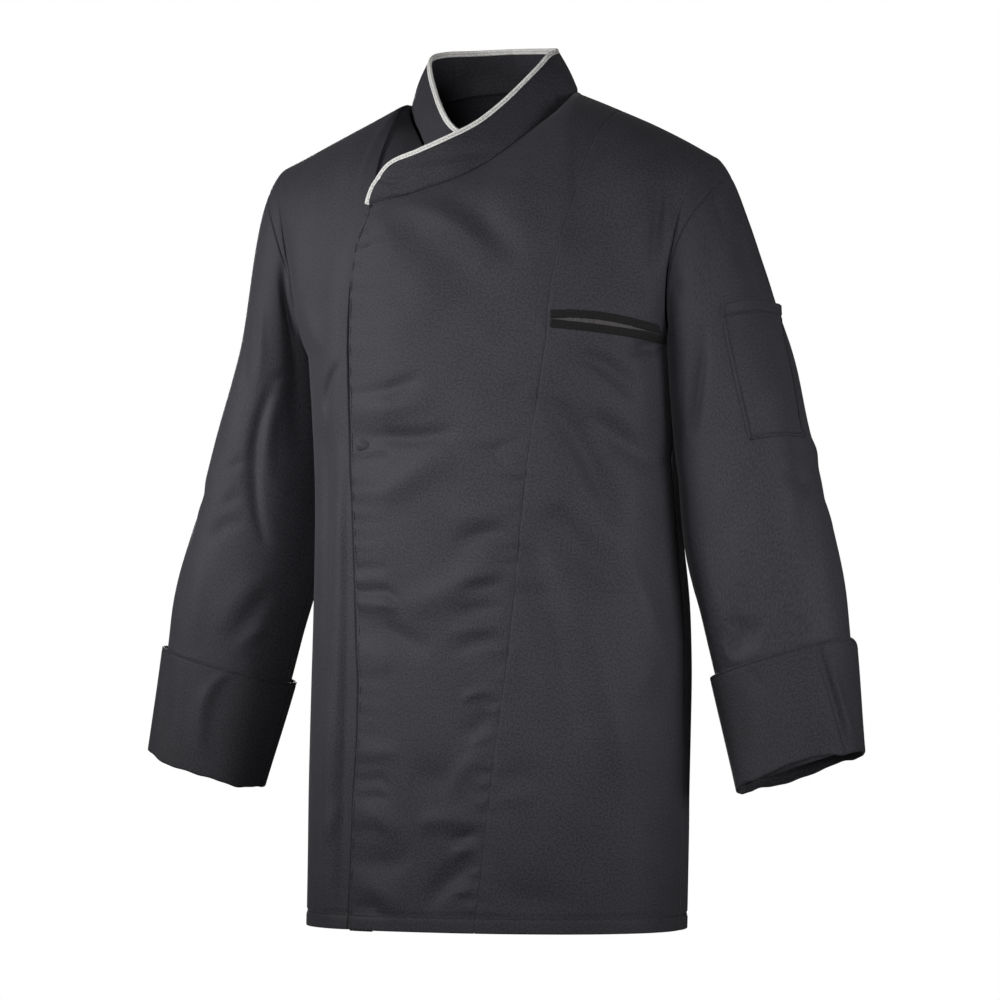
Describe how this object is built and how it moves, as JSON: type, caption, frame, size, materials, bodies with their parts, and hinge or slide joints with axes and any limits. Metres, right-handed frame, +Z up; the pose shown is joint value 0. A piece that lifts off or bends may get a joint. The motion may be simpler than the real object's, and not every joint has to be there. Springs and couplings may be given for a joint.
{
  "type": "chef jacket",
  "caption": "Long-sleeved chef jacket with wrap front, piped stand collar, concealed placket, turned-back cuffs, welt chest pocket and sleeve pocket, filled out as worn.",
  "frame": {"origin": "midway between the points where the shoulder seams meet the collar, at the wearer's shoulders, which hold the jacket up", "axes": "+Z up towards the collar, +X to the wearer's left, +Y to the wearer's back; the front faces -Y"},
  "size_m": [0.73, 0.247, 0.8578],
  "materials": {
    "cloth": "charcoal twill, slight satin sheen",
    "piping": "light grey binding",
    "welt": "black twill, matt"
  },
  "bodies": {
    "root": {"right_front": "cloth", "left_front_panel": "cloth", "left_front_side": "cloth", "back": "cloth", "sleeve_left": "cloth", "sleeve_right": "cloth", "cuff_left": "cloth", "cuff_right": "cloth", "collar": "cloth", "collar_piping": "piping", "pocket_welt_upper": "welt", "pocket_welt_lower": "welt", "sleeve_pocket": "cloth"}
  },
  "joints": []
}
